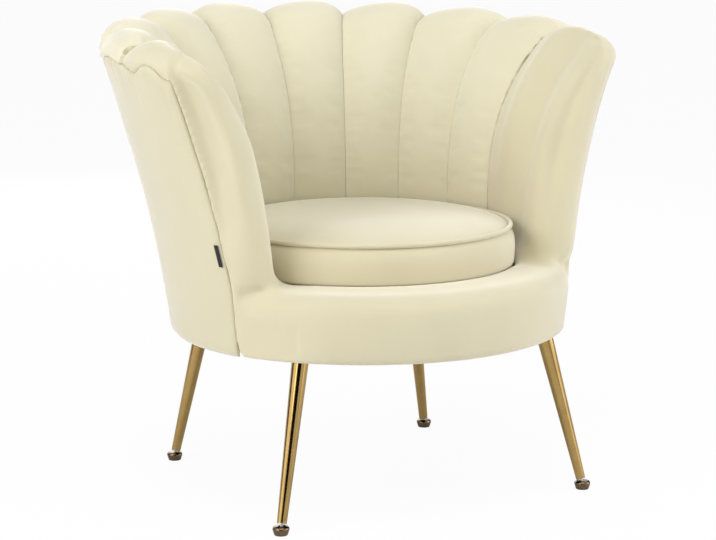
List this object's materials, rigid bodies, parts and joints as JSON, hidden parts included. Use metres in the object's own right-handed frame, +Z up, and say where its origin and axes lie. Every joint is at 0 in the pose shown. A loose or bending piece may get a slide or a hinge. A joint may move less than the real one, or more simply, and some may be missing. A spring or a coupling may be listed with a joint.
{
  "type": "lounge chair",
  "caption": "Round tub lounge chair with a scalloped channel back, loose round cushion, rolled apron and splayed tapered metal legs on levelling glides.",
  "frame": {"origin": "on the floor under the middle of the chair's bounding box", "axes": "+X to the sitter's left, picture right; -Y to the front; +Z up"},
  "size_m": [0.7944, 0.7131, 0.7228],
  "materials": {
    "frame_wood": "raw plywood",
    "velvet": "cream velvet over padding",
    "dark_textile": "black woven and non-woven cloth",
    "gold_metal": "polished gold plating",
    "steel": "zinc plated",
    "bronze": "dark bronze, satin",
    "foam": "cut upholstery foam"
  },
  "bodies": {
    "chair": {"base_ring": "frame_wood", "seat_ring": "frame_wood", "seat_blocks": "frame_wood", "front_rail": "frame_wood", "rim_hoop": "frame_wood", "inner_lining": "frame_wood", "rib_back": "frame_wood", "rib_left": "frame_wood", "rib_right": "frame_wood", "rib_arm_left": "frame_wood", "rib_arm_right": "frame_wood", "petal_left_1": "velvet", "petal_left_2": "velvet", "petal_left_3": "velvet", "petal_left_4": "velvet", "petal_right_1": "velvet", "petal_right_2": "velvet", "petal_right_3": "velvet", "petal_right_4": "velvet", "arm_pad_left": "velvet", "arm_pad_right": "velvet", "arm_front_left": "velvet", "arm_front_right": "velvet", "front_apron": "velvet", "outer_cover": "velvet", "deck_pad": "velvet", "webbing_long": "dark_textile", "webbing_cross": "dark_textile", "dust_cover": "dark_textile", "side_tag": "dark_textile", "leg_front_left": "gold_metal", "leg_front_right": "gold_metal", "leg_back_left": "gold_metal", "leg_back_right": "gold_metal", "plate_front_left": "gold_metal", "plate_front_right": "gold_metal", "plate_back_left": "gold_metal", "plate_back_right": "gold_metal", "plate_screws": "steel", "bush_front_left": "steel", "bush_front_right": "steel", "bush_back_left": "steel", "bush_back_right": "steel"},
    "seat_cushion": {"cushion_core": "foam", "cushion_cover": "velvet", "cushion_piping": "velvet"},
    "levelling_glide_front_left": {"stem_front_left": "steel", "glide_front_left": "bronze"},
    "levelling_glide_front_right": {"stem_front_right": "steel", "glide_front_right": "bronze"},
    "levelling_glide_back_left": {"stem_back_left": "steel", "glide_back_left": "bronze"},
    "levelling_glide_back_right": {"stem_back_right": "steel", "glide_back_right": "bronze"}
  },
  "joints": [
    {"name": "cushion_lift", "type": "slide", "parent": "chair", "child": "seat_cushion", "axis": [0, 0, 1], "range_m": [0, 0.4]},
    {"name": "glide_screw_front_left", "type": "slide", "parent": "chair", "child": "levelling_glide_front_left", "axis": [-0.2069, -0.1537, -0.9662], "range_m": [0, 0.01]},
    {"name": "glide_screw_front_right", "type": "slide", "parent": "chair", "child": "levelling_glide_front_right", "axis": [0.2069, -0.1537, -0.9662], "range_m": [0, 0.01]},
    {"name": "glide_screw_back_left", "type": "slide", "parent": "chair", "child": "levelling_glide_back_left", "axis": [-0.1778, 0.1323, -0.9751], "range_m": [0, 0.01]},
    {"name": "glide_screw_back_right", "type": "slide", "parent": "chair", "child": "levelling_glide_back_right", "axis": [0.1778, 0.1323, -0.9751], "range_m": [0, 0.01]}
  ]
}
